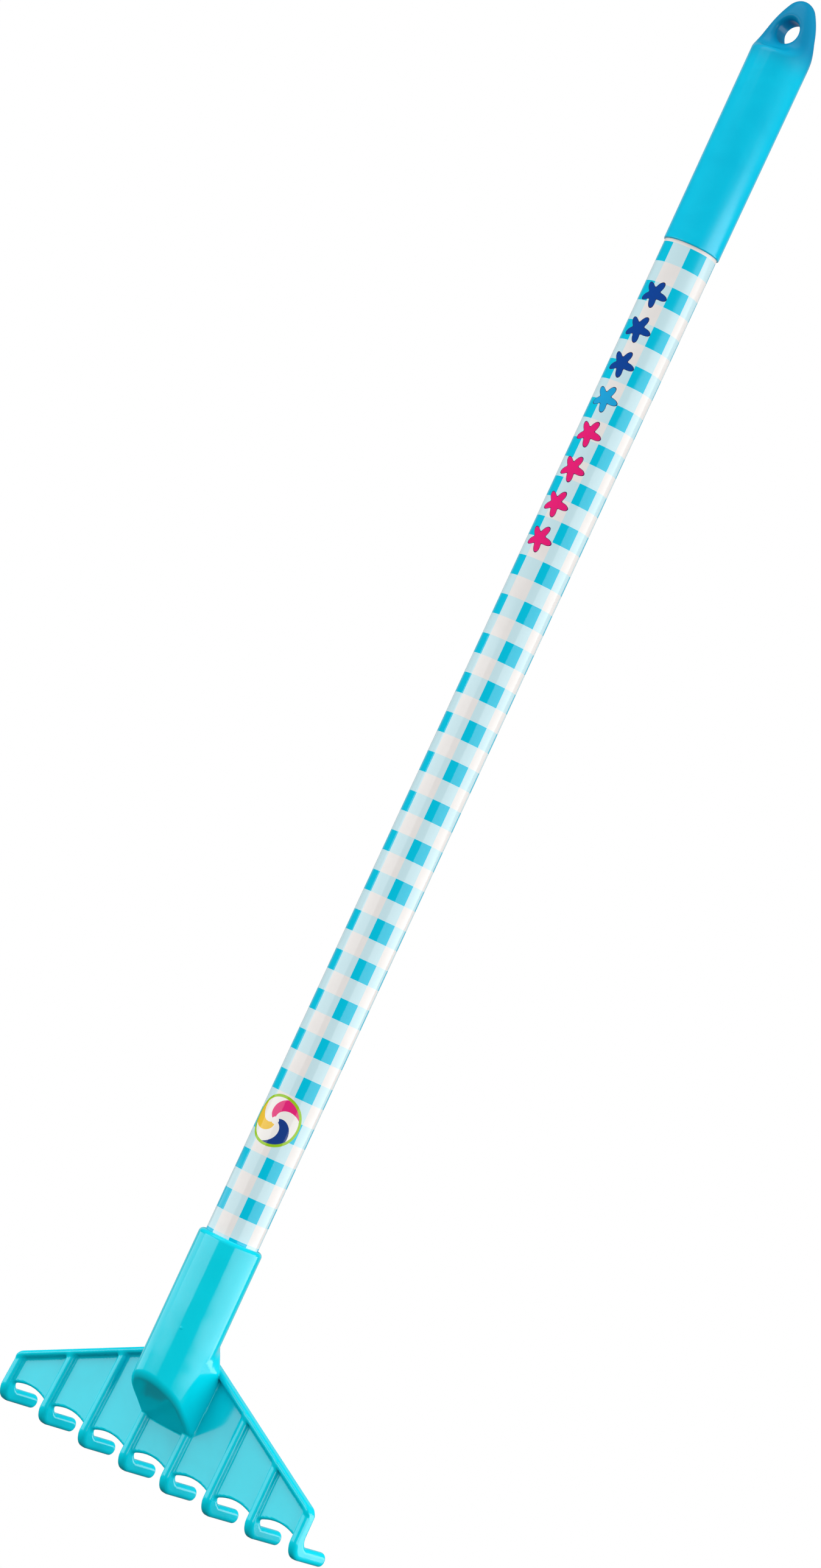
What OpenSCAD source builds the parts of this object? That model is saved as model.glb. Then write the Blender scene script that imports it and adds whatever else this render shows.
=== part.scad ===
// Child's sand rake: a moulded fan head with hooked tines and a socket, a film covered
// steel tube pushed into the socket, and a push-on hand grip with a hang hole.
// Millimetres. +Z runs up the pole, -Y is the side of the socket, +Y is where the toes point.
// The origin is the centre of the hang hole in the grip.

/* [Pole] */
// Outside diameter of the steel tube
tube_d = 21.5; // [18:0.1:26]
// Wall of the steel tube
tube_wall = 0.6; // [0.4:0.1:1.5]
// Length of the steel tube
tube_length = 560.5; // [300:0.5:1200]
// Thickness of the printed film round the tube
film_t = 0.2; // [0.1:0.05:0.5]

/* [Hand grip] */
// Length of the grip, from its lower edge to its tip
grip_length = 107.5; // [60:0.5:160]
// Wall of the grip round the pole
grip_wall = 0.8; // [0.6:0.05:3]
// Length of the flattened end, down from the grip's tip
tongue_length = 23.5; // [21:0.5:30]
// Solid end between the flattened end and the tube
end_wall = 4; // [2:0.5:12]
// Front face of the flattened end, in front of the pole's axis
tongue_front = 4.4; // [3:0.1:7]
// Back face of the flattened end, behind the pole's axis
tongue_back = 6; // [4:0.1:9]
// Hollow radius that leads into the front face
front_scoop_r = 6; // [3:0.5:10]
// Hollow radius that leads into the back face
back_scoop_r = 12; // [3:0.5:16]
// Radius of the grip's rounded shoulders, seen from the front
shoulder_r = 40; // [34:1:60]
// Radius of the grip's tip, seen from the front
tip_r = 6.5; // [4:0.1:9]
// Diameter of the hang hole
hole_d = 10; // [6:0.1:11]
// Distance from the hang hole's centre to the grip's tip
hole_to_tip = 14; // [12:0.5:16]
// Rounding of the grip's lower edge
grip_edge_r = 0.5; // [0.2:0.05:0.55]

/* [Socket] */
// Wall of the socket round the pole
socket_wall = 2.2; // [2:0.05:3.5]
// How far the tube goes into the socket
socket_insert = 57; // [45:1:60]
// Depth of the slanted underside at the pole's axis, below the mouth
socket_drop = 69; // [67:0.5:74]
// Slope of the underside, falling towards the plate
socket_slant = 31.5; // [20:0.5:40]
// How much each side wall spreads on its way to the plate
wall_spread = 0.4; // [0:0.1:1.5]
// Rounding of the mouth's outer edge
lip_r = 1.8; // [0.3:0.1:1.9]

/* [Plate] */
// Depth of the plate's lower edge below the socket's mouth
plate_drop = 92; // [88:0.5:110]
// Front of the plate behind the pole's axis, at its lower edge
plate_back = 11.5; // [10:0.1:14]
// Lean of the plate, its top going back
plate_tilt = 3.4; // [0:0.1:5]
// Thickness of the plate
plate_t = 2; // [1.5:0.1:2.4]
// Height of the rim's peak above the plate's lower edge
rim_peak = 48.9; // [46:0.1:56]
// Slope of the rim on each side of its peak
rim_slope = 24.8; // [18:0.1:27]
// How far the rim stands out in front of the plate
rim_height = 2.7; // [2.6:0.1:3.2]
// Width of the rim
rim_w = 2.5; // [2:0.1:3.4]
// Depth of the rim, front to back
rim_depth = 5.2; // [5:0.1:6.5]
// How far the lower edge arches up between two tines
scallop_rise = 2.7; // [1:0.1:5]

/* [Tines] */
// Number of tines
tine_count = 8; // [4:1:10]
// Distance between tines at the plate's lower edge
tine_pitch = 22; // [14:0.5:24]
// Distance from the plate's lower edge up to the point that the tines fan out from
fan_r = 1700; // [800:10:4000]
// Width of a tine
tine_w = 4; // [3.5:0.1:4.8]
// Depth of a tine, front to back
tine_depth = 5.6; // [5.2:0.1:7]
// How far a tine stands out in front of the plate
rib_height = 2.4; // [1.5:0.1:2.5]
// Radius of the heel where a tine turns back into its toe
heel_r = 6.8; // [6:0.1:9]
// Drop of the toe's underside below the plate's lower edge
toe_drop = 7.3; // [6:0.1:14]
// Length of a toe, from the front of the heel to the tip
toe_length = 24.5; // [15:0.5:40]

/* [Fixing screw] */
// Depth of the screw below the socket's mouth
screw_drop = 22; // [12:0.5:30]
// Diameter of the screw's shank
screw_d = 3.5; // [2.5:0.1:4]
// Length of the screw under its head
screw_length = 8; // [6:0.5:16]
// Diameter of the screw's head
screw_head_d = 7; // [5:0.1:8]
// Height of the screw's head
screw_head_h = 2.4; // [1.5:0.1:3.5]
// Diameter of the boss under the head
boss_d = 9; // [8:0.1:12]
// How far the boss stands out from the socket
boss_h = 0.8; // [0.3:0.1:2]

/* [Fits] */
// Clearance at each push fit, and between the film and the tube
fit_gap = 0.05; // [0.01:0.01:0.2]

/* [Hidden] */
$fn = 96;

// Overrun of a cut past the solid that it cuts
over = 1;
// Inset of the rim's corner posts, so that they stay under the rounded bars
post_inset = 0.4;
// How much wider than its bar a post is, on each side
post_spare = 0.2;
// How far the rim's two bars run past each other at the peak
peak_lap = 0.3;
// Width and depth of the cross slot in the screw's head
slot_w = 0.9;
slot_depth = 1.1;
// Length of the screw's point
screw_point = 2.5;

tube_r = tube_d / 2;
film_r = tube_r + fit_gap + film_t;
bore_r = film_r + fit_gap;
grip_r = bore_r + grip_wall;
socket_r = bore_r + socket_wall;
tine_r = tine_w / 2;
rim_r = rim_w / 2;

// Heights along the pole, from the hang hole
tip_z = hole_to_tip;
grip_z = tip_z - grip_length;
tongue_z = tip_z - tongue_length;
tube_top = tongue_z - end_wall;
tube_bottom = tube_top - tube_length;
mouth_z = tube_bottom + socket_insert;
floor_z = tube_bottom - fit_gap;
screw_z = mouth_z - screw_drop;
seat_y = socket_r + boss_h;

// The grip's outline: a shoulder arc that starts upright on the tube and meets the tip's arc
tip_rise = sqrt(pow(shoulder_r - tip_r, 2) - pow(shoulder_r - grip_r, 2));
shoulder_z = tip_z - tip_r - tip_rise;
join_z = shoulder_z + tip_rise * shoulder_r / (shoulder_r - tip_r);

// The deepest point of the socket's underside, and a reach that clears the head
socket_low = mouth_z - socket_drop - (plate_back + plate_t + socket_r) * tan(socket_slant);
head_reach = plate_drop + tine_count * tine_pitch;

// The scallop's circle springs from inside two tines
scallop_half = tine_pitch / 2 - tine_r / 2;
scallop_r = (pow(scallop_half, 2) + pow(scallop_rise, 2)) / (2 * scallop_rise);

// A tine's own places: the axis that its heel turns about, and the run of its toe
heel_n = heel_r - rib_height;
heel_v = heel_r - toe_drop;
heel_turn = 90 + plate_tilt;
toe_run = toe_length - heel_r - tine_r;

// Fan angle of tine i, and its distance from the fan's point where it meets the rim
function fan_angle(i) = (i - (tine_count - 1) / 2) * tine_pitch / fan_r * 180 / PI;
function rim_reach(i) =
    (fan_r - rim_peak) / (cos(fan_angle(i)) - tan(rim_slope) * sin(abs(fan_angle(i))));
function fan_point(angle, reach) = [reach * sin(angle), fan_r - reach * cos(angle)];

// The rim's corner, where it meets the outermost tine
last_tine = tine_count - 1;
corner = fan_point(fan_angle(last_tine), rim_reach(last_tine));
rim_run = norm([corner.x, rim_peak - corner.y]);

// How far below that corner its round post stands, to end level with the rim's upper side
post_drop = (tine_r - rim_r) / cos(rim_slope);

// Flat section of a tine or rim bar, rounded at both ends, front edge at zero depth
module bar_section(w, depth) {
    translate([0, w / 2]) circle(d = w);
    translate([0, depth - w / 2]) circle(d = w);
    translate([-w / 2, w / 2]) square([w, depth - w]);
}

// Half of a tine's section, for turning about its middle
module half_section() {
    intersection() {
        bar_section(tine_w, tine_depth);
        square([tine_w, tine_depth]);
    }
}

// Moves its children into the plate's leaning frame: X across, Y through the plate, Z up it
module on_plate() {
    translate([0, plate_back, mouth_z - plate_drop])
        rotate([-plate_tilt, 0, 0])
            children();
}

// Turns its children about the fan's point, from the middle of the plate
module fanned(angle) {
    translate([0, 0, fan_r])
        rotate([0, -angle, 0])
            translate([0, 0, -fan_r])
                children();
}

// One tine: a rib up the plate, a heel that turns back, and a toe with a round end
module tine(rib_top) {
    translate([0, -rib_height, heel_v])
        linear_extrude(rib_top - heel_v)
            bar_section(tine_w, tine_depth);
    translate([0, heel_n, heel_v])
        rotate([-90, 0, 0])
            rotate([0, 90, 0])
                rotate_extrude(angle = heel_turn)
                    translate([heel_r, 0])
                        rotate(90)
                            bar_section(tine_w, tine_depth);
    translate([0, heel_n, heel_v])
        rotate([plate_tilt - 90, 0, 0]) {
            linear_extrude(toe_run)
                translate([0, heel_r - tine_depth])
                    bar_section(tine_w, tine_depth);
            translate([0, 0, toe_run])
                rotate([90, 0, 0])
                    rotate_extrude(angle = 180)
                        translate([0, -heel_r])
                            half_section();
        }
}

// All the tines, each as long as its place under the rim allows
module tines() {
    for (i = [0:last_tine])
        fanned(fan_angle(i))
            tine(fan_r - rim_reach(i));
}

// A short round post that rounds off the corner between the rim and the outermost tine
module corner_post() {
    translate([corner.x, post_inset - rib_height, corner.y - post_drop])
        rotate([-90, 0, 0])
            cylinder(r = tine_r + post_spare, h = tine_depth - 2 * post_inset);
}

// The raised rim along the two sloping upper edges
module rim() {
    for (side = [0, 1])
        mirror([side, 0, 0]) {
            translate([corner.x, 0, corner.y])
                rotate([0, rim_slope - 90, 0])
                    linear_extrude(rim_run + peak_lap)
                        translate([0, -rim_height])
                            bar_section(rim_w, rim_depth);
            corner_post();
        }
    translate([0, post_inset - rim_height, rim_peak])
        rotate([-90, 0, 0])
            cylinder(r = rim_r + post_spare, h = rim_depth - 2 * post_inset);
}

// The thin fan plate, its lower edge scalloped between the tines
module fan_plate() {
    foot = [for (i = [0:last_tine]) fan_point(fan_angle(i), fan_r)];
    translate([0, plate_t, 0])
        rotate([90, 0, 0])
            linear_extrude(plate_t)
                difference() {
                    polygon(concat(foot, [corner, [0, rim_peak], [-corner.x, corner.y]]));
                    for (i = [0:last_tine - 1])
                        translate(fan_point(
                            (fan_angle(i) + fan_angle(i + 1)) / 2,
                            fan_r + scallop_r - scallop_rise
                        ))
                            circle(r = scallop_r);
                }
}

// Cuts off everything under the socket's slanted underside
module underside_cut() {
    translate([0, 0, mouth_z - socket_drop])
        rotate([-socket_slant, 0, 0])
            translate([-head_reach, -head_reach, -head_reach])
                cube([2 * head_reach, 2 * head_reach, head_reach]);
}

// Side walls that run from the round socket back into the plate, roofed like the rim
module socket_walls() {
    wall_y = plate_back + rim_peak * tan(plate_tilt) + plate_t;
    intersection() {
        translate([0, 0, socket_low])
            linear_extrude(mouth_z - socket_low)
                polygon([
                    [-socket_r, 0],
                    [socket_r, 0],
                    [socket_r + wall_spread, wall_y],
                    [-socket_r - wall_spread, wall_y]
                ]);
        on_plate()
            translate([0, plate_t / 2, 0])
                rotate([90, 0, 0])
                    linear_extrude(head_reach)
                        polygon([
                            [-corner.x, corner.y],
                            [0, rim_peak],
                            [corner.x, corner.y],
                            [corner.x, -plate_drop],
                            [-corner.x, -plate_drop]
                        ]);
    }
}

// Round outside of the socket with its softened mouth
module socket_tube() {
    rotate_extrude()
        difference() {
            translate([0, socket_low]) square([socket_r, mouth_z - socket_low]);
            translate([socket_r - lip_r, mouth_z - lip_r])
                difference() {
                    square(lip_r + over);
                    circle(r = lip_r);
                }
        }
}

// One moulding: plate, rim, tines and the socket with its screw boss
module rake_head() {
    color("turquoise")
        difference() {
            union() {
                on_plate() {
                    fan_plate();
                    rim();
                    tines();
                }
                difference() {
                    union() {
                        socket_tube();
                        socket_walls();
                    }
                    underside_cut();
                }
                translate([0, 0, screw_z])
                    rotate([-90, 0, 0])
                        cylinder(d = boss_d, h = seat_y);
            }
            translate([0, 0, floor_z])
                cylinder(r = bore_r, h = mouth_z - floor_z + over);
            screw_hole();
        }
}

// Hole for the screw's shank, from the pole's axis out through the back
module screw_hole() {
    translate([0, 0, screw_z])
        rotate([-90, 0, 0])
            cylinder(r = screw_d / 2 + fit_gap, h = seat_y + over);
}

// Thin steel tube
module pole_tube() {
    color("silver")
        difference() {
            translate([0, 0, tube_bottom]) cylinder(r = tube_r, h = tube_length);
            translate([0, 0, tube_bottom - over])
                cylinder(r = tube_r - tube_wall, h = tube_length + 2 * over);
            screw_hole();
        }
}

// Printed film shrunk over the whole tube
module printed_film() {
    color("paleturquoise")
        difference() {
            translate([0, 0, tube_bottom]) cylinder(r = film_r, h = tube_length);
            translate([0, 0, tube_bottom - over])
                cylinder(r = film_r - film_t, h = tube_length + 2 * over);
            screw_hole();
        }
}

// Turned body of the grip, its lower edge rounded and its end drawn in to the tip
module grip_body() {
    rotate_extrude() {
        difference() {
            translate([0, grip_z]) square([grip_r, shoulder_z - grip_z]);
            translate([grip_r - grip_edge_r, grip_z + grip_edge_r])
                mirror([0, 1])
                    difference() {
                        square(grip_edge_r + over);
                        circle(r = grip_edge_r);
                    }
        }
        intersection() {
            translate([grip_r - shoulder_r, shoulder_z]) circle(r = shoulder_r);
            translate([0, shoulder_z]) square([grip_r, join_z - shoulder_z]);
        }
        intersection() {
            translate([0, tip_z - tip_r]) circle(r = tip_r);
            translate([0, join_z]) square([grip_r, tip_z - join_z]);
        }
    }
}

// Cut that flattens one side of the grip's end, hollow where it starts
module tongue_cut(face, scoop_r) {
    reach = 2 * grip_r;
    translate([-reach, 0, 0])
        rotate([90, 0, 90])
            linear_extrude(2 * reach) {
                translate([face, tongue_z + scoop_r])
                    square([reach, tip_z - tongue_z]);
                translate([face + scoop_r, tongue_z])
                    square([reach, tip_z - tongue_z]);
                translate([face + scoop_r, tongue_z + scoop_r])
                    circle(r = scoop_r);
            }
}

// Hand grip: a long cap with a flattened end and a hang hole
module hand_grip() {
    color("deepskyblue")
        difference() {
            grip_body();
            translate([0, 0, grip_z - over])
                cylinder(r = bore_r, h = tube_top - grip_z + fit_gap + over);
            mirror([0, 1, 0]) tongue_cut(tongue_front, front_scoop_r);
            tongue_cut(tongue_back, back_scoop_r);
            translate([0, -grip_r, 0])
                rotate([-90, 0, 0])
                    cylinder(d = hole_d, h = 2 * grip_r);
        }
}

// Self-tapping screw that holds the head on the tube, driven in from the back
module fixing_screw() {
    color("gainsboro")
        translate([0, seat_y, screw_z])
            rotate([-90, 0, 0])
                difference() {
                    union() {
                        cylinder(d = screw_head_d, h = screw_head_h);
                        translate([0, 0, screw_point - screw_length])
                            cylinder(d = screw_d, h = screw_length - screw_point);
                        translate([0, 0, -screw_length])
                            cylinder(d1 = 0, d2 = screw_d, h = screw_point);
                    }
                    for (turn = [0, 90])
                        rotate(turn)
                            translate([-screw_d / 2, -slot_w / 2, screw_head_h - slot_depth])
                                cube([screw_d, slot_w, slot_depth + over]);
                }
}

rake_head();
pole_tube();
printed_film();
hand_grip();
fixing_screw();
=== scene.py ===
import math

import bpy
import numpy as np
from mathutils import Matrix


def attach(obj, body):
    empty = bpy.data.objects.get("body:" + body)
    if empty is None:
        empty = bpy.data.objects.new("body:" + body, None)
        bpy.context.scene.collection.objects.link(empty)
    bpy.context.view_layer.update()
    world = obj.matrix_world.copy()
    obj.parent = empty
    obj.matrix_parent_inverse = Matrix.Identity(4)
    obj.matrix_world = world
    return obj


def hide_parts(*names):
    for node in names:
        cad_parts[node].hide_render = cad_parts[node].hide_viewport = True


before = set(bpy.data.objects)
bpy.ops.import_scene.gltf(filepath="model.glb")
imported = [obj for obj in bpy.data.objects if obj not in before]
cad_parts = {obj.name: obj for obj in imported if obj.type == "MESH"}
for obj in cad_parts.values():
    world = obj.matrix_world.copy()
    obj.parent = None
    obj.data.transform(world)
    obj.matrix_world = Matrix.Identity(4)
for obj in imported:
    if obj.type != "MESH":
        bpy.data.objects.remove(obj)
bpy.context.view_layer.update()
bpy.context.scene.view_settings.view_transform = "Standard"


# Pole tube. A thin rolled and seam-welded steel tube, cut square at both ends. The film covers it, and
# the socket and the grip close its ends, so only the bare metal finish of its node is set here.
LINE_W, LINE_LENGTH = 0.667, 83.0  # the rolls' marks; sizes are millimetres where no other unit is given


def linear(colour):
    """An sRGB hex colour as linear red, green, blue and alpha."""
    c = np.array([int(colour[i : i + 2], 16) for i in (1, 3, 5)]) / 255
    c = np.where(c <= 0.04045, c / 12.92, ((c + 0.055) / 1.055) ** 2.4)
    return (*c.tolist(), 1.0)


def add(tree, kind, inputs=(), out=0, stops=(), **settings):
    """Adds one node to a tree and gives one of its outputs.

    The inputs are values or other nodes' outputs, for the sockets in turn or by name. The stops are a ramp's
    places and colours, and the settings are the node's own properties.
    """
    node = tree.nodes.new("ShaderNode" + kind)
    for name, value in settings.items():
        setattr(node, name, value)
    for socket, value in inputs.items() if isinstance(inputs, dict) else enumerate(inputs):
        if isinstance(value, bpy.types.NodeSocket):
            tree.links.new(value, node.inputs[socket])
        else:
            node.inputs[socket].default_value = value
    for _ in stops[2:]:
        node.color_ramp.elements.new(1.0)
    for element, (place, colour) in zip(node.color_ramp.elements if stops else (), stops):
        element.position = place
        element.color = linear(colour)
    return node.outputs[out] if node.outputs else node


def bare_material(name):
    """A material with an empty node tree, and that tree."""
    material = bpy.data.materials.new(name)
    material.use_nodes = True
    material.node_tree.nodes.clear()
    return material, material.node_tree


# Cold rolled steel: a grey metal with fine lines along the tube from drawing it through the rolls
rolled_steel, tree = bare_material("cold_rolled_steel")
place = add(tree, "TexCoord", out="Object")
rolled = (1000 / LINE_W, 1000 / LINE_W, 1000 / LINE_LENGTH)
drawn = add(tree, "Mapping", {"Vector": place, "Scale": rolled})
lines = add(tree, "TexNoise", {"Vector": drawn, "Scale": 1.0, "Detail": 3.0})
grey = add(tree, "ValToRGB", (lines,), stops=((0.0, "#8E9092"), (1.0, "#C9CBCC")))
metal = add(tree, "BsdfPrincipled", {"Base Color": grey, "Metallic": 1.0, "Roughness": 0.32})
add(tree, "OutputMaterial", (metal,))
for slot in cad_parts["pole_tube"].material_slots:
    slot.material = rolled_steel


# Printed film. A clear polyester sleeve, printed inside with a gingham check and shrunk over the tube.
# Shrinking pulls the squares narrower round the pole and leaves faint waves. Its lap is at the back.
MOUTH_Z = -517.0  # heights up the pole, from the hang hole
TUBE_LOW, TUBE_TOP = -574.0, -13.5
FILM_R, FILM_T = 11.0, 0.2
WAVE, LAP_STEP = 0.012, 0.1  # how far the waves and the lap stand out
LAP_FROM, LAP_W, LAP_EDGE = -164.0, 26.0, 4.0  # in degrees from the front towards the right
SQUARE = 8.42  # along the pole
CHECK_ROWS = 49
CHECK_TURN = 80.4  # degrees of turn for one light and one dark column
DARK_FROM = 28.4  # where a dark column starts, in degrees from the front towards the right
DARK_UP = 9.6  # where a dark row starts, above the socket's mouth
TWIST_LOW, TWIST_TOP, TWIST = 260.0, 420.0, 4.0  # the heights between which the film twists, and the degrees
MOTTLE = 6.25  # width of the faint clouds in the ink


def mesh_piece(name, points, quads, material, uv=None, normals=None, caps=()):
    """Puts points in millimetres and four-cornered faces into a smooth mesh that rides on the rake.

    Each cap is a small ring of points that closes a pole with one face.
    """
    mesh = bpy.data.meshes.new(name)
    mesh.from_pydata((points / 1000).tolist(), [], quads.tolist() + [cap.tolist() for cap in caps])
    if uv is not None:
        mesh.uv_layers.new(name="Print").data.foreach_set("uv", uv.astype(np.float32).ravel())
    mesh.materials.append(material)
    mesh.shade_smooth()
    if normals is not None:
        mesh.normals_split_custom_set_from_vertices(normals.tolist())
    piece = bpy.data.objects.new(name, mesh)
    bpy.context.collection.objects.link(piece)
    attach(piece, "root")
    return piece


def grid(n, m, wrap_n, wrap_m):
    """Corners of the quads of an n by m grid of points, and the grid lines that they lie on.

    A wrapped side joins its start again.
    """
    i = np.arange(n if wrap_n else n - 1)
    j = np.arange(m if wrap_m else m - 1)
    i, j = np.meshgrid(i, j, indexing="ij")
    i = np.stack([i, i + 1, i + 1, i], -1).reshape(-1, 4)
    j = np.stack([j, j, j + 1, j + 1], -1).reshape(-1, 4)
    return (i % n) * m + j % m, i, j


def sleeve(turns=120, rings=563):
    """The sleeve's wall: radius = film radius + lap step + faint waves, over the turn and the height.

    The waves are sines of the turn and the height, 33, 57 and 92 mm long.
    """
    turn = np.linspace(LAP_FROM, LAP_FROM + 360, turns, endpoint=False)[:, None]
    height = np.linspace(TUBE_LOW, TUBE_TOP, rings)[None, :]
    a = np.radians(turn)
    waves = np.sin(3 * a + height / 9.1) * np.sin(height / 5.3 + 2 * a) + np.sin(5 * a - height / 14.7)
    step = np.clip((LAP_FROM + LAP_W - turn) / LAP_EDGE, 0, 1)
    outer = FILM_R + WAVE * waves + LAP_STEP * step
    inner = np.full((turns, 2), FILM_R - FILM_T)
    radius = np.concatenate([outer, inner], 1)
    level = np.concatenate([height, [[TUBE_TOP, TUBE_LOW]]], 1) + 0 * radius
    points = np.stack([radius * np.sin(a), -radius * np.cos(a), level], -1)
    quads, i, j = grid(turns, rings + 2, True, True)
    uv = np.stack([LAP_FROM + 360 / turns * i, level[0][j % (rings + 2)] - MOUTH_Z], -1)
    return points.reshape(-1, 3), quads, uv


# The print also has a row of starfish up the pole and a beach ball near its foot, as play prints do
STAR_TURN, BALL_TURN = -2.0, 12.0  # degrees from the front towards the right
STAR_UP, STAR_STEP, STARS = 288.0, 15.0, 8
STAR_R, STAR_SWING, STAR_LINE = 4.4, 1.55, 0.35
STAR_LEAN = 0.6  # radians
BALL_UP, BALL_R, BALL_CAP, BALL_RING = 49.0, 10.4, 1.5, 1.1
BALL_SWIRL = 0.03  # turns for each millimetre from the middle
ARC = math.radians(FILM_R)  # millimetres round the pole for each degree


def stripes(tree, place, start, period):
    """One in the first half of each period, counted from start, and zero in the second."""
    share = add(tree, "Math", (place, 1 / period, -start / period), operation="MULTIPLY_ADD")
    share = add(tree, "Math", (share,), operation="FRACT")
    return add(tree, "Math", (share, 0.5), operation="LESS_THAN")


def polar(tree, x, y):
    """Distance and angle of a place from a motif's middle."""
    spot = add(tree, "CombineXYZ", (x, y))
    reach = add(tree, "VectorMath", (spot,), out="Value", operation="LENGTH")
    return reach, add(tree, "Math", (y, x), operation="ARCTAN2")


# Gloss polyester film over ink: a clear smooth coat, so the check keeps sharp edges under a clean shine
film_print, tree = bare_material("printed_polyester_film")
turn = add(tree, "SeparateXYZ", (add(tree, "UVMap", uv_map="Print"),))
up = turn.node.outputs["Y"]
twist = {"Value": up, "From Min": TWIST_LOW, "From Max": TWIST_TOP, "To Max": TWIST}
twist = add(tree, "MapRange", twist, interpolation_type="SMOOTHSTEP")
turn = add(tree, "Math", (turn, twist), operation="SUBTRACT")
column = stripes(tree, turn, DARK_FROM, CHECK_TURN)
row = stripes(tree, up, DARK_UP, 2 * SQUARE)
printed = add(tree, "Math", (up, DARK_UP + CHECK_ROWS * SQUARE), operation="LESS_THAN")
pale = add(tree, "Math", (column, row), operation="MAXIMUM")
pale = add(tree, "Math", (pale, printed), operation="MULTIPLY")
dark = add(tree, "Math", (column, row), operation="MULTIPLY")
place = add(tree, "TexCoord", out="Object")
mottle = add(tree, "TexNoise", {"Vector": place, "Scale": 1000 / MOTTLE, "Detail": 4.0})
paper = add(tree, "ValToRGB", (mottle,), stops=((0.0, "#E8E4E1"), (1.0, "#F0ECE9")))
ink = add(tree, "Mix", {0: pale, 6: paper, 7: linear("#C9E7EE")}, out=2, data_type="RGBA")
ink = add(tree, "Mix", {0: dark, 6: ink, 7: linear("#00C4E2")}, out=2, data_type="RGBA")

# Starfish: the edge's distance from the middle swings five times in one turn; a dark line runs inside it
run = add(tree, "Math", (up, 1 / STAR_STEP, -STAR_UP / STAR_STEP), operation="MULTIPLY_ADD")
in_row = add(tree, "Math", (run, STARS / 2, STARS / 2), operation="COMPARE")
x = add(tree, "Math", (turn, ARC, -STAR_TURN * ARC), operation="MULTIPLY_ADD")
y = add(tree, "Math", (run,), operation="FRACT")
y = add(tree, "Math", (y, STAR_STEP, -STAR_STEP / 2), operation="MULTIPLY_ADD")
reach, angle = polar(tree, x, y)
swing = add(tree, "Math", (angle, 5.0, STAR_LEAN), operation="MULTIPLY_ADD")
swing = add(tree, "Math", (swing,), operation="COSINE")
edge = add(tree, "Math", (swing, STAR_SWING, STAR_R), operation="MULTIPLY_ADD")
inside = add(tree, "Math", (edge, reach), operation="SUBTRACT")
star = add(tree, "Math", (inside, 0.0), operation="GREATER_THAN")
star = add(tree, "Math", (star, in_row), operation="MULTIPLY")
outline = add(tree, "Math", (inside, STAR_LINE), operation="LESS_THAN")
share = add(tree, "Math", (run, STARS), operation="DIVIDE")
pink_cyan_navy = ((0.0, "#EC1F78"), (4 / STARS, "#1FA6DE"), (5 / STARS, "#10459A"))
colours = add(tree, "ValToRGB", (share,), stops=pink_cyan_navy)
colours.node.color_ramp.interpolation = "CONSTANT"
colours = add(tree, "Mix", {0: outline, 6: colours, 7: linear("#33264F")}, out=2, data_type="RGBA")
ink = add(tree, "Mix", {0: star, 6: ink, 7: colours}, out=2, data_type="RGBA")

# Beach ball: six panels that swirl round a white cap, in a lime ring
x = add(tree, "Math", (turn, ARC, -BALL_TURN * ARC), operation="MULTIPLY_ADD")
y = add(tree, "Math", (up, BALL_UP), operation="SUBTRACT")
reach, angle = polar(tree, x, y)
swirl = add(tree, "Math", (angle, 2 * math.pi), operation="DIVIDE")
swirl = add(tree, "Math", (reach, BALL_SWIRL, swirl), operation="MULTIPLY_ADD")
swirl = add(tree, "Math", (swirl,), operation="FRACT")
panels = ("#1B3E8A", "#F3F0EC", "#E8297C", "#F3F0EC", "#F2C53A", "#F3F0EC")
panels = [(i / len(panels), panel) for i, panel in enumerate(panels)]
colours = add(tree, "ValToRGB", (swirl,), stops=panels)
colours.node.color_ramp.interpolation = "CONSTANT"
cap = add(tree, "Math", (reach, BALL_CAP), operation="LESS_THAN")
ring = add(tree, "Math", (reach, BALL_R - BALL_RING), operation="GREATER_THAN")
ball = add(tree, "Math", (reach, BALL_R), operation="LESS_THAN")
colours = add(tree, "Mix", {0: cap, 6: colours, 7: linear("#F3F0EC")}, out=2, data_type="RGBA")
colours = add(tree, "Mix", {0: ring, 6: colours, 7: linear("#9CCB22")}, out=2, data_type="RGBA")
ink = add(tree, "Mix", {0: ball, 6: ink, 7: colours}, out=2, data_type="RGBA")

gloss = add(tree, "MapRange", {"Value": mottle, "To Min": 0.07, "To Max": 0.11})
coat = add(tree, "BsdfPrincipled", {"Base Color": ink, "Roughness": gloss, "IOR": 1.44})
add(tree, "OutputMaterial", (coat,))

points, quads, film_uv = sleeve()
film = mesh_piece("film_sleeve", points, quads, film_print, film_uv)
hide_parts("printed_film")


# Rake head. One polypropylene moulding: a leaning fan plate with a raised rim, tines that turn back at
# the heel into round-ended toes, and a socket with a slanted underside. Every corner has a mould radius.
FOOT_Z = MOUTH_Z - 92.0  # the plate's lower edge
PLATE_Y, LEAN = 11.5, math.radians(3.4)  # the plate's front at that edge, and how it leans to the back
PLATE_T, PLATE_EDGE = 2.0, 0.85
ARCH_RISE, ARCH_R = 2.7, 19.87  # of the lower edge between two tines
RIM_PEAK, RIM_SLOPE = 48.9, math.radians(24.8)
RIM_W, RIM_DEPTH, RIM_OUT = 2.5, 5.2, 2.7  # the last is how far it stands out in front of the plate
RIM_EDGE, RIM_CORNER = 1.1, 2.4
TINES, PITCH, FAN_R = 8, 22.0, 1700.0  # count, spacing at the lower edge, and the radius of their fan
TINE_W, TINE_OUT, TINE_IN = 4.0, 2.4, 3.2  # width, and reach in front of and behind the plate's front
TINE_EDGE, TINE_FULLER = 1.5, 0.4  # rounding underneath, and how much more there is above
FULLER_DROP, FULLER_RISE = 7.2, 3.0  # where that starts, under the plate, and the height it takes
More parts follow.
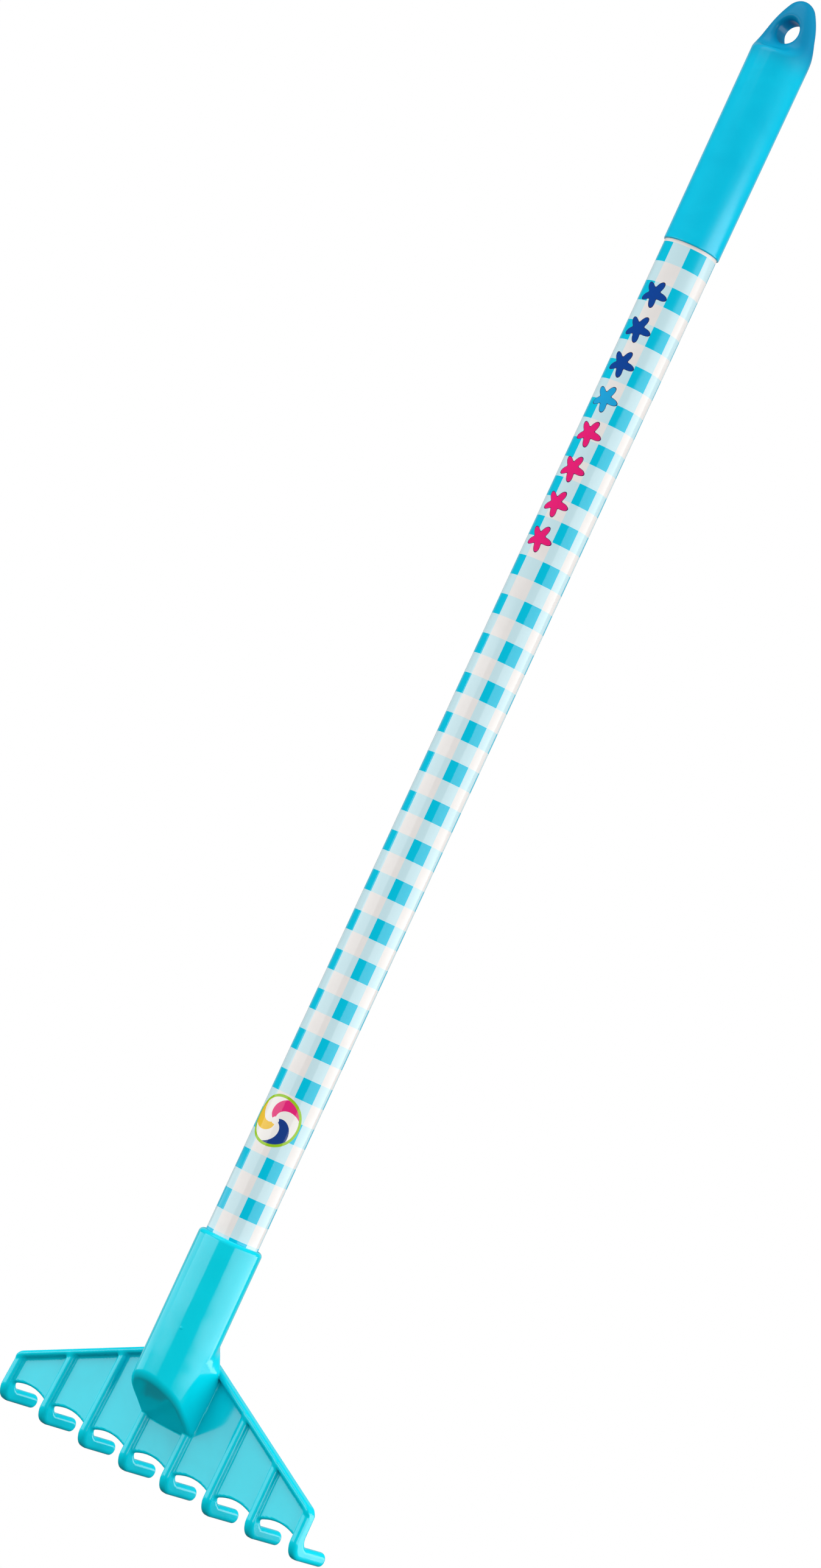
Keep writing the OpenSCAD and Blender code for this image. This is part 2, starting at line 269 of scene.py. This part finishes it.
HEEL_DROP, HEEL_R, CROOK_R = 7.6, 6.8, 4.2  # a drop is below the plate's lower edge
TOE_DROP, TOE_LENGTH, TOE_END = 2.0, 22.0, 2.8
COMB_FILLET = 1.1  # in the corners between the plate, the rim and the tines
SOCKET_R, BORE_R, BORE_EDGE = 13.25, 11.05, 0.4
WALL_SPREAD, WALL_STEEP, WALL_FILLET = 0.025, 4.0, 1.2  # spread to the back, and a sharp start at the axis
WEB_BARREL, WEB_ROOF = 8.0, 4.5  # how the web weighs its distances from the barrel and from the roof line
WEB_OUT, WEB_STEEP = 36.0, 9.2  # its room towards the plate, and what turns the sum into a distance
WEB_EDGE, UNDER_EDGE, LIP = 1.0, 2.2, 1.8
UNDER_DROP, SLANT = 69.0, math.radians(31.5)  # the underside, below the mouth at the pole's axis
ROOT_FRONT, ROOT_BACK = 0.3, 1.3  # the corner between the socket and the plate: crisp in front, soft behind
SCREW_Z, SCREW_SEAT = MOUTH_Z - 22.0, 14.05
BOSS_R, BOSS_Y, BOSS_EDGE, BOSS_FILLET = 4.5, 7.0, 0.6, 0.8


def both(a, b, r):
    """Inside both shapes, their outer edge rounded to radius r."""
    return np.minimum(-r, np.maximum(a, b)) + np.hypot(np.maximum(a + r, 0), np.maximum(b + r, 0))


def either(a, b, r):
    """Inside either shape, the inner corner between them filled to radius r."""
    return np.maximum(r, np.minimum(a, b)) - np.hypot(np.maximum(r - a, 0), np.maximum(r - b, 0))


def head_field(x, y, z):
    """Distance outside the moulding's skin.

    The plate is a slab under the rim's roof line, less an arch between each two tines. The rim is a bar along
    that line. A tine is a bar that turns round the heel and ends in a half round. The socket is a barrel with
    side walls and a web to the plate, cut by the slanted underside, the mouth and the bore.
    """
    across = np.abs(x)
    dy, dz = y - PLATE_Y, z - FOOT_Z
    deep = dy * math.cos(LEAN) - dz * math.sin(LEAN)  # behind the plate's front
    up = dy * math.sin(LEAN) + dz * math.cos(LEAN)  # above its lower edge
    roof = across * math.sin(RIM_SLOPE) + (up - RIM_PEAK) * math.cos(RIM_SLOPE)
    fan = np.arctan2(across, FAN_R - up) * FAN_R  # along the fanned lower edge
    rise = FAN_R - np.hypot(across, FAN_R - up)  # along a tine
    outermost = TINES // 2 - 1  # counts bays and tines from the middle
    bay = fan - PITCH * np.clip(np.round(fan / PITCH), 0, outermost)
    side = fan - PITCH * (np.clip(np.round(fan / PITCH - 0.5), 0, outermost) + 0.5)
    beyond = fan - PITCH * (outermost + 0.5)  # past the middle of the outermost tine

    arch = ARCH_R - np.hypot(bay, rise + ARCH_R - ARCH_RISE)
    plate = np.maximum(np.maximum(roof, beyond), arch)
    plate = both(plate, np.abs(deep - PLATE_T / 2) - PLATE_T / 2, PLATE_EDGE)

    rim = np.abs(deep + RIM_OUT - RIM_DEPTH / 2) - RIM_DEPTH / 2
    rim = both(np.abs(roof) - RIM_W / 2, rim, RIM_EDGE)
    rim = both(rim, beyond - TINE_W / 2, RIM_CORNER)

    toe_up = rise * math.cos(LEAN) - deep * math.sin(LEAN)
    toe_out = rise * math.sin(LEAN) + deep * math.cos(LEAN)
    heel = both(-TINE_OUT - deep, -HEEL_DROP - toe_up, HEEL_R)
    crook = either(deep - TINE_IN, toe_up + TOE_DROP, CROOK_R)
    bar = both(np.maximum(heel, crook), toe_out - TOE_LENGTH, TOE_END)
    fuller = TINE_FULLER * np.clip((toe_up + FULLER_DROP) / FULLER_RISE, 0, 1)
    tine = both(np.maximum(bar, roof), np.abs(side) - TINE_W / 2, TINE_EDGE + fuller)
    comb = either(either(plate, rim, COMB_FILLET), tine, COMB_FILLET)

    barrel = np.hypot(x, y) - SOCKET_R
    wall = np.maximum(np.maximum(across - SOCKET_R - WALL_SPREAD * y, -WALL_STEEP * y), deep - PLATE_T / 2)
    let_out = WEB_OUT * np.clip(y / PLATE_Y, 0, 1)
    web = (WEB_BARREL * barrel + WEB_ROOF * roof - let_out) / WEB_STEEP  # slants up to the barrel's back
    socket = either(barrel, both(wall, web, WEB_EDGE), WALL_FILLET)
    socket = np.maximum(socket, across - SOCKET_R - WALL_SPREAD * np.maximum(y, 0))
    under = -(z - MOUTH_Z + UNDER_DROP + y * math.tan(SLANT)) * math.cos(SLANT)
    socket = both(both(socket, under, UNDER_EDGE), z - MOUTH_Z, LIP)
    boss = both(np.hypot(x, z - SCREW_Z) - BOSS_R, np.abs(y - BOSS_Y) - (SCREW_SEAT - BOSS_Y), BOSS_EDGE)
    root = ROOT_FRONT + (ROOT_BACK - ROOT_FRONT) * np.clip(deep / PLATE_T, 0, 1)
    head = either(either(comb, socket, root), boss, BOSS_FILLET)
    bore = np.minimum(BORE_R - np.hypot(x, y), z - TUBE_LOW)
    return both(head, bore, BORE_EDGE)


def skin(field, low, high, step, nudge=0.02, rounds=4):
    """Points, quads and normals of the surface where a field is zero, negative inside.

    A grid cell that the surface crosses gets one point, the mean of the crossings on its edges, and each
    crossed grid edge gets one quad between its four cells. The points then move to the middle of their
    neighbours, to lie evenly, and slide back down the field's slope, which also gives the normals.
    """
    axes = [np.arange(a, b + step, step) for a, b in zip(low, high)]
    value = field(*np.meshgrid(*axes, indexing="ij", sparse=True)).astype(np.float32)
    shape = value.shape
    cells = tuple(n - 1 for n in shape)
    total = np.zeros((3,) + cells, np.float32)
    count = np.zeros(cells, np.float32)
    crossings = []
    for axis in range(3):
        low_end = np.take(value, range(shape[axis] - 1), axis)
        high_end = np.take(value, range(1, shape[axis]), axis)
        cut = (low_end < 0) != (high_end < 0)
        crossings.append(cut)
        share = np.where(cut, low_end / np.where(cut, low_end - high_end, 1), 0)
        at = np.indices(cut.shape, dtype=np.float32) * cut
        at[axis] += share
        for p in (0, 1):
            for q in (0, 1):
                pick = [slice(None)] * 3
                pick[(axis + 1) % 3] = slice(p, p + cells[(axis + 1) % 3])
                pick[(axis + 2) % 3] = slice(q, q + cells[(axis + 2) % 3])
                total += at[(slice(None), *pick)]
                count += cut[tuple(pick)]
    used = count > 0
    number = np.full(cells, -1)
    number[used] = np.arange(used.sum())
    points = np.array(low) + step * (total[:, used] / count[used]).T

    quads = []
    for axis in range(3):
        p, q = (axis + 1) % 3, (axis + 2) % 3
        at = np.argwhere(crossings[axis])
        at = at[(at[:, p] > 0) & (at[:, p] < cells[p]) & (at[:, q] > 0) & (at[:, q] < cells[q])]
        back = np.zeros((4, 1, 3), int)
        back[:, 0, p] = (1, 0, 0, 1)
        back[:, 0, q] = (1, 1, 0, 0)
        ring = number[tuple(np.moveaxis(at - back, 2, 0))].T
        outward = value[tuple(at.T)] < 0
        quads.append(np.where(outward[:, None], ring, ring[:, ::-1]))
    quads = np.concatenate(quads)

    near = np.concatenate([np.roll(quads, 1, 1), np.roll(quads, -1, 1)]).ravel()
    at = np.concatenate([quads, quads]).ravel()
    shares = np.maximum(np.bincount(at, minlength=len(points)), 1)
    least, longest = 0.2, 0.3 * step  # of the slope's square, and of a move
    for _ in range(rounds):
        middle = [np.bincount(at, points[near, axis], len(points)) / shares for axis in range(3)]
        points = (points + np.stack(middle, 1)) / 2
        here = field(*points.T)
        slope = [field(*(points + e).T) - field(*(points - e).T) for e in nudge * np.eye(3)]
        slope = np.stack(slope, 1) / (2 * nudge)
        move = here[:, None] * slope / np.maximum((slope**2).sum(1), least)[:, None]
        points = points - np.clip(move, -longest, longest)
    normals = slope / np.maximum(np.linalg.norm(slope, axis=1), 1e-6)[:, None]
    return points, quads, normals


# Moulded polypropylene: even colour through and through, a soft gloss from a polished mould, faint flow
# clouds, shallow sink waves that bend the reflections a little, and the nub where the gate was cut off
HEAD_CLOUD, HEAD_SINK = 22.22, 14.29  # widths
GATE = (0.00456, -0.01244, -0.5549)  # metres, as the texture's own places are
GATE_FOOT, GATE_TOP, GATE_RISE = 0.0008, 0.0002, 0.00015
moulded_pp, tree = bare_material("moulded_polypropylene")
place = add(tree, "TexCoord", out="Object")
flow = {"Vector": place, "Scale": 1000 / HEAD_CLOUD, "Detail": 3.0, "Distortion": 1.2}
flow = add(tree, "TexNoise", flow)
tint = add(tree, "ValToRGB", (flow,), stops=((0.3, "#00D3E6"), (0.7, "#00D9EC")))
gloss = add(tree, "MapRange", {"Value": flow, "To Min": 0.09, "To Max": 0.14})
sink = add(tree, "TexNoise", {"Vector": place, "Scale": 1000 / HEAD_SINK, "Detail": 1.0})
sink = add(tree, "Bump", {"Height": sink, "Strength": 0.25, "Distance": 0.0004})
gate = add(tree, "VectorMath", (place, GATE), out="Value", operation="DISTANCE")
gate = add(tree, "MapRange", {"Value": gate, "From Min": GATE_FOOT, "From Max": GATE_TOP})
gate = add(tree, "Bump", {"Height": gate, "Distance": GATE_RISE, "Normal": sink})
plastic = {"Base Color": tint, "Roughness": gloss, "IOR": 1.53, "Normal": gate}
add(tree, "OutputMaterial", (add(tree, "BsdfPrincipled", plastic),))

# The corners of a box round the head, set so that no edge of the mesh is pinched
HEAD_LOW, HEAD_HIGH, HEAD_CELL = (-80.75, -14.35, -618.3), (80.6, 36.0, -515.6), 0.6
points, quads, normals = skin(head_field, HEAD_LOW, HEAD_HIGH, HEAD_CELL)
head = mesh_piece("moulded_head", points, quads, moulded_pp, normals=normals)
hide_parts("rake_head")


# Hand grip. A polyethylene cap pushed over the pole's end. It widens a little upwards, and its end is
# scooped flat at the front and the back into a round-edged tongue with a hang hole.
GRIP_LOW, TIP_Z = -93.5, 14.0
SHOULDER_R, TIP_R = 40.0, 6.5
GRIP_LOW_R, GRIP_TOP_R, GRIP_EDGE = 11.65, 12.0, 0.45
TONGUE_Z = GRIP_LOW + 84.0
FRONT_Y, FRONT_SCOOP = -4.4, 7.0
BACK_Y, BACK_SCOOP, BACK_LOWER = 6.0, 13.0, 2.0
FRONT_EDGE, FRONT_ROUNDER = 2.2, 1.6  # rounding at the scoop's foot, and how much more there is above
BACK_EDGE, BACK_ROUNDER = 2.0, 2.5
ROUNDER_RISE = 9.0  # the height that this takes
HOLE_R, HOLE_EDGE = 5.0, 2.6


def grip_field(x, y, z):
    """Distance outside the grip's skin.

    The body is turned: a slow taper, a shoulder arc and the tip's arc. Two scoops cut its front and back,
    with edges that grow rounder up the tongue, and the hang hole goes through from front to back.
    """
    r = np.hypot(x, y)
    inset = SHOULDER_R - GRIP_TOP_R  # of the shoulder arc's centre, on the far side of the axis
    rise = math.sqrt((SHOULDER_R - TIP_R) ** 2 - inset**2)
    tip_up = z - TIP_Z + TIP_R  # above the tip arc's centre
    shoulder_z = TIP_Z - TIP_R - rise
    taper = np.clip((z - GRIP_LOW) / (shoulder_z - GRIP_LOW), 0, 1)
    side = r - GRIP_LOW_R - (GRIP_TOP_R - GRIP_LOW_R) * taper
    arc = np.hypot(r + inset, z - shoulder_z) - SHOULDER_R
    tip = np.hypot(r, tip_up) - TIP_R
    past = tip_up * inset > r * rise  # beyond the join of the two arcs
    body = np.where(z < shoulder_z, side, np.where(past, tip, arc))
    body = both(body, GRIP_LOW - z, GRIP_EDGE)
    opened = np.clip((z - TONGUE_Z) / ROUNDER_RISE, 0, 1)
    front = either(FRONT_Y - y, z - TONGUE_Z, FRONT_SCOOP)
    back = either(y - BACK_Y, z - TONGUE_Z + BACK_LOWER, BACK_SCOOP)
    body = both(body, front, FRONT_EDGE + FRONT_ROUNDER * opened)
    body = both(body, back, BACK_EDGE + BACK_ROUNDER * opened)
    return both(body, HOLE_R - np.hypot(x, z), HOLE_EDGE)


# Moulded polyethylene: a deeper blue than the head's. Its end carries painted shade, a still deeper blue that
# fades in up the height, and it is rougher and less shiny there.
GRIP_CLOUD, GRIP_GRAIN = 16.67, 0.714  # widths; the grain is drawn coarser than it is, to show
PAINTED_SHADE_LOW, PAINTED_SHADE_TOP = -0.019, -0.003  # metres, the heights between which the painted shade on the end fades in
moulded_pe, tree = bare_material("moulded_polyethylene")
place = add(tree, "TexCoord", out="Object")
flow = {"Vector": place, "Scale": 1000 / GRIP_CLOUD, "Detail": 4.0, "Distortion": 0.8}
flow = add(tree, "TexNoise", flow)
tint = add(tree, "ValToRGB", (flow,), stops=((0.3, "#00C4E8"), (0.7, "#00CCEE")))
painted_shade_end = add(tree, "SeparateXYZ", (place,), out="Z")
painted_shade_end = {"Value": painted_shade_end, "From Min": PAINTED_SHADE_LOW, "From Max": PAINTED_SHADE_TOP}
painted_shade_end = add(tree, "MapRange", painted_shade_end, interpolation_type="SMOOTHSTEP")
# Painted shade: the grip's end is mixed towards a deeper blue than the plastic's own colour
tint = add(tree, "Mix", {0: painted_shade_end, 6: tint, 7: linear("#008AB8")}, out=2, data_type="RGBA")
gloss = add(tree, "MapRange", {"Value": flow, "To Min": 0.09, "To Max": 0.13})
gloss = add(tree, "Math", (painted_shade_end, 0.15, gloss), operation="MULTIPLY_ADD")
shine = add(tree, "Math", (painted_shade_end, -0.32, 0.5), operation="MULTIPLY_ADD")
grain = add(tree, "TexNoise", {"Vector": place, "Scale": 1000 / GRIP_GRAIN, "Detail": 2.0})
grain = add(tree, "Bump", {"Height": grain, "Strength": 0.02, "Distance": 0.0001})
plastic = {"Base Color": tint, "Roughness": gloss, "IOR": 1.54, "Specular IOR Level": shine, "Normal": grain}
add(tree, "OutputMaterial", (add(tree, "BsdfPrincipled", plastic),))

GRIP_SIDE, GRIP_ROOM, GRIP_CELL = 13.4, 1.2, 0.5  # a box round the grip: half its width, and room at its ends
low = (-GRIP_SIDE, -GRIP_SIDE, GRIP_LOW - GRIP_ROOM)
high = (GRIP_SIDE, GRIP_SIDE, TIP_Z + GRIP_ROOM)
points, quads, normals = skin(grip_field, low, high, GRIP_CELL)
grip = mesh_piece("grip_cap", points, quads, moulded_pe, normals=normals)
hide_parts("hand_grip")


# Fixing screw. A zinc plated self-tapping screw with a domed pan head and a cross recess, driven through
# the boss at the back of the socket into the tube.
SCREW_HEAD_R, SCREW_HEAD_H = 3.5, 2.4
RECESS_REACH, RECESS_W, RECESS_TAPER, RECESS_DEPTH = 1.5, 0.55, 0.2, 1.3
SHANK_R, SHANK_LENGTH, POINT_LENGTH, POINT_R = 1.75, 8.0, 2.5, 0.05


def turned_screw(turns=96, rings=40):
    """The screw over turn and run: a dome less a tapered cross recess, a flat seat, a shank and its point.

    The dome's height is the root of one less the sixth power of the radius's share, and falls off a little.
    """
    a = np.linspace(0, 2 * math.pi, turns, endpoint=False)[:, None]
    share = np.linspace(0.02, 1, rings)
    dome = SCREW_HEAD_H * (1 - share**6) ** 0.5 * (1 - 0.12 * share**2)
    r = np.concatenate([SCREW_HEAD_R * share, [SHANK_R, SHANK_R, POINT_R]]) + 0 * a
    out = np.concatenate([dome, [0, POINT_LENGTH - SHANK_LENGTH, -SHANK_LENGTH]])
    u, w = r * np.cos(a), r * np.sin(a)
    along_u = np.hypot(np.maximum(np.abs(u) - RECESS_REACH, 0), w)
    along_w = np.hypot(u, np.maximum(np.abs(w) - RECESS_REACH, 0))
    recess = np.clip((RECESS_W - np.minimum(along_u, along_w)) / RECESS_TAPER, 0, 1) * (out > 0)
    points = np.stack([u, SCREW_SEAT + out - RECESS_DEPTH * recess, SCREW_Z + w], -1)
    rings = len(out)
    quads, _, _ = grid(turns, rings, True, False)
    ring = np.arange(turns) * rings
    return points.reshape(-1, 3), quads, (ring[::-1], ring + rings - 1)


# Bright zinc plate: a pale blue-grey metal under a thin milky passive layer, lightly scuffed by the driver
SCUFF = 1.111  # width
zinc, tree = bare_material("bright_zinc_plate")
place = add(tree, "TexCoord", out="Object")
scuff = add(tree, "TexNoise", {"Vector": place, "Scale": 1000 / SCUFF, "Detail": 5.0})
tint = add(tree, "ValToRGB", (scuff,), stops=((0.0, "#A9AFB4"), (1.0, "#D6D9DA")))
gloss = add(tree, "MapRange", {"Value": scuff, "To Min": 0.25, "To Max": 0.42})
metal = add(tree, "BsdfPrincipled", {"Base Color": tint, "Metallic": 0.4, "Roughness": gloss})
add(tree, "OutputMaterial", (metal,))

points, quads, caps = turned_screw()
screw = mesh_piece("pan_head_screw", points, quads, zinc, caps=caps)
screw.data.set_sharp_from_angle(angle=math.radians(40))
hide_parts("fixing_screw")


# Studio, in metres. A pale floor disc far below the rake, a white sweep all round, strip lamps on both sides
# and a soft box above. The camera's own side is left dim, which gives the gloss its darker band.
FLOOR_Z, FLOOR_R, FLOOR_CAP_R = -1.5, 0.6, 0.002
FLOOR_TURNS, FLOOR_RINGS = 128, 24
FADE_FROM, FADE_TO = 0.08, 0.3
a = np.linspace(0, 2 * math.pi, FLOOR_TURNS, endpoint=False)[:, None]
r = np.linspace(FLOOR_CAP_R, FLOOR_R, FLOOR_RINGS)[None, :]
points = np.stack([r * np.cos(a), r * np.sin(a), FLOOR_Z + 0 * r * a], -1).reshape(-1, 3)
quads = grid(FLOOR_TURNS, FLOOR_RINGS, True, False)[0][:, ::-1]
middle = np.arange(FLOOR_TURNS) * FLOOR_RINGS
floor_mesh = bpy.data.meshes.new("studio_floor")
floor_mesh.from_pydata(points.tolist(), [], quads.tolist() + [middle.tolist()])
floor = bpy.data.objects.new("studio_floor", floor_mesh)
bpy.context.collection.objects.link(floor)
floor.visible_glossy = False  # its small mirror image would be a stray line on the rake's lower edges

# Pale vinyl floor that fades into the white sweep towards its edge
pale_vinyl, tree = bare_material("pale_vinyl_floor")
vinyl = add(tree, "BsdfPrincipled", {"Base Color": linear("#F4F4F4"), "Roughness": 0.6})
sweep = add(tree, "Emission", {"Strength": add(tree, "LightPath", out="Is Camera Ray")})
flat = add(tree, "VectorMath", (add(tree, "TexCoord", out="Object"), (1, 1, 0)), operation="MULTIPLY")
reach = add(tree, "VectorMath", (flat,), out="Value", operation="LENGTH")
fade = {"Value": reach, "From Min": FADE_FROM, "From Max": FADE_TO}
fade = add(tree, "MapRange", fade, interpolation_type="SMOOTHSTEP")
add(tree, "OutputMaterial", (add(tree, "MixShader", (fade, vinyl, sweep)),))
floor_mesh.materials.append(pale_vinyl)

# White sweep: white to the eye, dim in the gloss except right behind the rake, and a soft glow from above and
# from both sides
BEHIND, SIDEWAYS = (-0.575, 0.817, 0), (0.82, 0.57, 0)
world = bpy.data.worlds.new("white_sweep")
bpy.context.scene.world = world
world.use_nodes = True
tree = world.node_tree
tree.nodes.clear()
rays = add(tree, "LightPath").node.outputs
way = add(tree, "TexCoord", out="Generated")
behind = add(tree, "VectorMath", (way, BEHIND), out="Value", operation="DOT_PRODUCT")
behind = {"Value": behind, "From Min": 0.72, "From Max": 0.95, "To Min": 0.03, "To Max": 0.4}
behind = add(tree, "MapRange", behind, interpolation_type="SMOOTHSTEP")
mirrored = add(tree, "Math", (rays["Is Glossy Ray"], behind), operation="MULTIPLY")
seen = add(tree, "Math", (rays["Is Camera Ray"], rays["Is Transmission Ray"]), operation="MAXIMUM")
seen = add(tree, "Math", (seen, mirrored), operation="MAXIMUM")
height = add(tree, "SeparateXYZ", (way,), out="Z")
glow = {"Value": height, "From Min": -0.3, "From Max": 0.25, "To Min": 0.07}
glow = add(tree, "MapRange", glow)
sides = add(tree, "VectorMath", (way, SIDEWAYS), out="Value", operation="DOT_PRODUCT")
sides = add(tree, "Math", (sides, sides), operation="MULTIPLY")
sides = add(tree, "Math", (sides, 0.75, 0.9), operation="MULTIPLY_ADD")
glow = add(tree, "Math", (sides, glow), operation="MULTIPLY")
glow = add(tree, "Math", (rays["Is Diffuse Ray"], glow), operation="MULTIPLY")
level = add(tree, "Math", (seen, glow), operation="MAXIMUM")
sky = add(tree, "Background", {"Color": (1, 1, 1, 1), "Strength": level})
add(tree, "OutputWorld", (sky,))


def facing(place, aim, roll=0.0):
    """The stand of a lamp or the camera: it faces its aim, rolled round that line by some degrees."""
    away = np.array(place, float) - aim
    away /= np.linalg.norm(away)
    right = np.cross((0, 0, 1), away)
    right /= np.linalg.norm(right)
    up = np.cross(away, right)
    c, s = math.cos(math.radians(roll)), math.sin(math.radians(roll))
    stand = np.eye(4)
    stand[:3] = np.stack([c * right + s * up, c * up - s * right, away, place], 1)
    return Matrix(stand.tolist())


def soft_box(name, place, aim, width, height, radiance):
    """A rectangular lamp that faces its aim. Its power is radiance times pi times its area."""
    lamp = bpy.data.lights.new(name, "AREA")
    lamp.shape = "RECTANGLE"
    lamp.size, lamp.size_y = width, height
    lamp.energy = radiance * math.pi * width * height
    box = bpy.data.objects.new(name, lamp)
    box.matrix_world = facing(place, aim)
    bpy.context.collection.objects.link(box)


soft_box("right_strip", (2.716, 0.183, -0.2), (0.286, -0.747, -0.2), 5.6, 1.2, 2.5)
soft_box("right_low_strip", (1.537, 3.265, -0.525), (-0.893, 2.335, -0.525), 1.0, 0.65, 2.5)
soft_box("left_strip", (-1.03, -1.48, -0.4), (0, 0, -0.4), 2.2, 0.62, 2.0)
soft_box("left_low_strip", (-1.79, -0.16, -0.73), (0, 0, -0.73), 1.3, 0.34, 1.0)
soft_box("key_soft_box", (-0.57, -0.98, 0.81), (0, 0, -0.32), 1.3, 1.3, 0.8)

# Camera: in front of the rake and to its right, nearly level, and rolled, so that the pole leans
CAMERA_PLACE, CAMERA_AIM, CAMERA_ROLL = (1.07559, -1.54748, -0.41916), (0, -0.02009, -0.3292), 24.885
IMAGE_H, FOCAL = 2576, 8001.7  # pixels
SENSOR = 36.0  # millimetres
camera = bpy.data.cameras.new("camera")
camera.sensor_fit = "VERTICAL"
camera.sensor_height = SENSOR
camera.lens = SENSOR * FOCAL / IMAGE_H
viewer = bpy.data.objects.new("camera", camera)
viewer.matrix_world = facing(CAMERA_PLACE, CAMERA_AIM, CAMERA_ROLL)
bpy.context.collection.objects.link(viewer)
bpy.context.scene.camera = viewer
